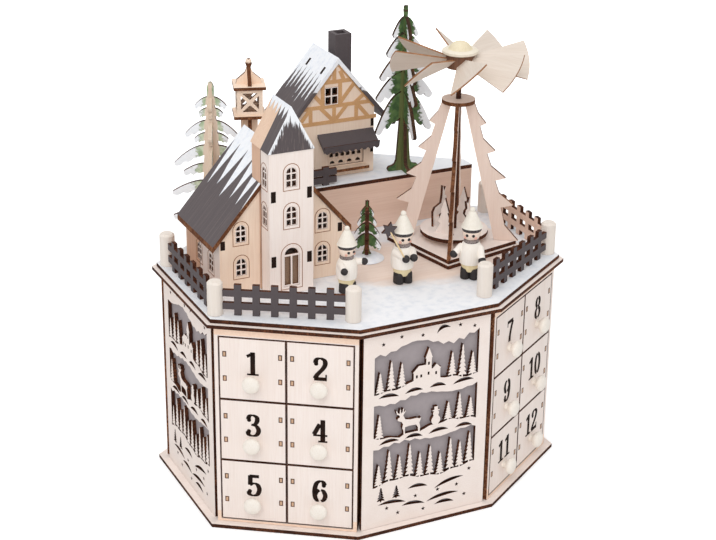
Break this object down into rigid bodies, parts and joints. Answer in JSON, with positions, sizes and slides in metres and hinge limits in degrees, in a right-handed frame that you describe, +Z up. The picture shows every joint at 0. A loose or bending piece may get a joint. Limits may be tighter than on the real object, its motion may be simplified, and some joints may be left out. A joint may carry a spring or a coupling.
{
  "type": "advent calendar",
  "caption": "Eight-sided plywood advent calendar: numbered sliding drawers, fretwork winter panels, and a snowy village deck with a turning pyramid.",
  "frame": {"origin": "centre of the base plate underside, on the table", "axes": "+Z up, -Y out of the front fretwork panel, +X to the right seen from the front"},
  "size_m": [0.3, 0.243, 0.3512],
  "materials": {
    "birch": "bare sanded birch plywood with burnt edges",
    "tan_ply": "bare plywood, warmer tone, burnt edges",
    "slate_paint": "matte dark grey-brown paint on wood",
    "snow_paint": "matte white brushed paint on wood",
    "backing": "grey translucent-looking sheet",
    "green_paint": "green stain on wood with white dabs",
    "frost_paint": "pale wood with white paint and a green tip",
    "cream_paint": "satin cream paint on turned wood"
  },
  "bodies": {
    "calendar": {"base_plate": "birch", "deck_lower": "birch", "deck_upper": "snow_paint", "fret_panel_front": "birch", "panel_backing_front": "backing", "fret_panel_right": "birch", "panel_backing_right": "backing", "fret_panel_back": "birch", "panel_backing_back": "backing", "fret_panel_left": "birch", "panel_backing_left": "backing", "drawer_rack_front_left": "tan_ply", "drawer_rack_front_right": "tan_ply", "drawer_rack_back_right": "tan_ply", "drawer_rack_back_left": "tan_ply", "fence_left": "slate_paint", "fence_right": "slate_paint", "church_nave": "tan_ply", "nave_roof": "slate_paint", "church_tower": "birch", "tower_roof": "slate_paint", "terrace": "tan_ply", "house_walls": "tan_ply", "house_roof": "slate_paint", "chimney": "slate_paint", "lantern": "tan_ply", "tree_tall": "green_paint", "tree_left": "frost_paint", "tree_small": "green_paint", "pyramid_platform": "birch", "pyramid_frame": "birch", "caroler_left": "cream_paint", "caroler_middle": "cream_paint", "caroler_right": "cream_paint"},
    "drawer_01": {"drawer_01": "birch"},
    "drawer_02": {"drawer_02": "birch"},
    "drawer_03": {"drawer_03": "birch"},
    "drawer_04": {"drawer_04": "birch"},
    "drawer_05": {"drawer_05": "birch"},
    "drawer_06": {"drawer_06": "birch"},
    "drawer_07": {"drawer_07": "birch"},
    "drawer_08": {"drawer_08": "birch"},
    "drawer_09": {"drawer_09": "birch"},
    "drawer_10": {"drawer_10": "birch"},
    "drawer_11": {"drawer_11": "birch"},
    "drawer_12": {"drawer_12": "birch"},
    "drawer_13": {"drawer_13": "birch"},
    "drawer_14": {"drawer_14": "birch"},
    "drawer_15": {"drawer_15": "birch"},
    "drawer_16": {"drawer_16": "birch"},
    "drawer_17": {"drawer_17": "birch"},
    "drawer_18": {"drawer_18": "birch"},
    "drawer_19": {"drawer_19": "birch"},
    "drawer_20": {"drawer_20": "birch"},
    "drawer_21": {"drawer_21": "birch"},
    "drawer_22": {"drawer_22": "birch"},
    "drawer_23": {"drawer_23": "birch"},
    "drawer_24": {"drawer_24": "birch"},
    "spinner": {"pyramid_spindle": "birch", "pyramid_rotor": "birch"}
  },
  "joints": [
    {"name": "drawer_01_slide", "type": "slide", "parent": "calendar", "child": "drawer_01", "axis": [-0.5611, -0.8278, 0], "range_m": [0, 0.045]},
    {"name": "drawer_02_slide", "type": "slide", "parent": "calendar", "child": "drawer_02", "axis": [-0.5611, -0.8278, 0], "range_m": [0, 0.045]},
    {"name": "drawer_03_slide", "type": "slide", "parent": "calendar", "child": "drawer_03", "axis": [-0.5611, -0.8278, 0], "range_m": [0, 0.045]},
    {"name": "drawer_04_slide", "type": "slide", "parent": "calendar", "child": "drawer_04", "axis": [-0.5611, -0.8278, 0], "range_m": [0, 0.045]},
    {"name": "drawer_05_slide", "type": "slide", "parent": "calendar", "child": "drawer_05", "axis": [-0.5611, -0.8278, 0], "range_m": [0, 0.045]},
    {"name": "drawer_06_slide", "type": "slide", "parent": "calendar", "child": "drawer_06", "axis": [-0.5611, -0.8278, 0], "range_m": [0, 0.045]},
    {"name": "drawer_07_slide", "type": "slide", "parent": "calendar", "child": "drawer_07", "axis": [0.5611, -0.8278, 0], "range_m": [0, 0.045]},
    {"name": "drawer_08_slide", "type": "slide", "parent": "calendar", "child": "drawer_08", "axis": [0.5611, -0.8278, 0], "range_m": [0, 0.045]},
    {"name": "drawer_09_slide", "type": "slide", "parent": "calendar", "child": "drawer_09", "axis": [0.5611, -0.8278, 0], "range_m": [0, 0.045]},
    {"name": "drawer_10_slide", "type": "slide", "parent": "calendar", "child": "drawer_10", "axis": [0.5611, -0.8278, 0], "range_m": [0, 0.045]},
    {"name": "drawer_11_slide", "type": "slide", "parent": "calendar", "child": "drawer_11", "axis": [0.5611, -0.8278, 0], "range_m": [0, 0.045]},
    {"name": "drawer_12_slide", "type": "slide", "parent": "calendar", "child": "drawer_12", "axis": [0.5611, -0.8278, 0], "range_m": [0, 0.045]},
    {"name": "drawer_13_slide", "type": "slide", "parent": "calendar", "child": "drawer_13", "axis": [0.5611, 0.8278, 0], "range_m": [0, 0.045]},
    {"name": "drawer_14_slide", "type": "slide", "parent": "calendar", "child": "drawer_14", "axis": [0.5611, 0.8278, 0], "range_m": [0, 0.045]},
    {"name": "drawer_15_slide", "type": "slide", "parent": "calendar", "child": "drawer_15", "axis": [0.5611, 0.8278, 0], "range_m": [0, 0.045]},
    {"name": "drawer_16_slide", "type": "slide", "parent": "calendar", "child": "drawer_16", "axis": [0.5611, 0.8278, 0], "range_m": [0, 0.045]},
    {"name": "drawer_17_slide", "type": "slide", "parent": "calendar", "child": "drawer_17", "axis": [0.5611, 0.8278, 0], "range_m": [0, 0.045]},
    {"name": "drawer_18_slide", "type": "slide", "parent": "calendar", "child": "drawer_18", "axis": [0.5611, 0.8278, 0], "range_m": [0, 0.045]},
    {"name": "drawer_19_slide", "type": "slide", "parent": "calendar", "child": "drawer_19", "axis": [-0.5611, 0.8278, 0], "range_m": [0, 0.045]},
    {"name": "drawer_20_slide", "type": "slide", "parent": "calendar", "child": "drawer_20", "axis": [-0.5611, 0.8278, 0], "range_m": [0, 0.045]},
    {"name": "drawer_21_slide", "type": "slide", "parent": "calendar", "child": "drawer_21", "axis": [-0.5611, 0.8278, 0], "range_m": [0, 0.045]},
    {"name": "drawer_22_slide", "type": "slide", "parent": "calendar", "child": "drawer_22", "axis": [-0.5611, 0.8278, 0], "range_m": [0, 0.045]},
    {"name": "drawer_23_slide", "type": "slide", "parent": "calendar", "child": "drawer_23", "axis": [-0.5611, 0.8278, 0], "range_m": [0, 0.045]},
    {"name": "drawer_24_slide", "type": "slide", "parent": "calendar", "child": "drawer_24", "axis": [-0.5611, 0.8278, 0], "range_m": [0, 0.045]},
    {"name": "spinner_turn", "type": "hinge", "parent": "calendar", "child": "spinner", "pos_m": [0.081, -0.004, 0.18], "axis": [0, 0, 1], "continuous": true}
  ]
}
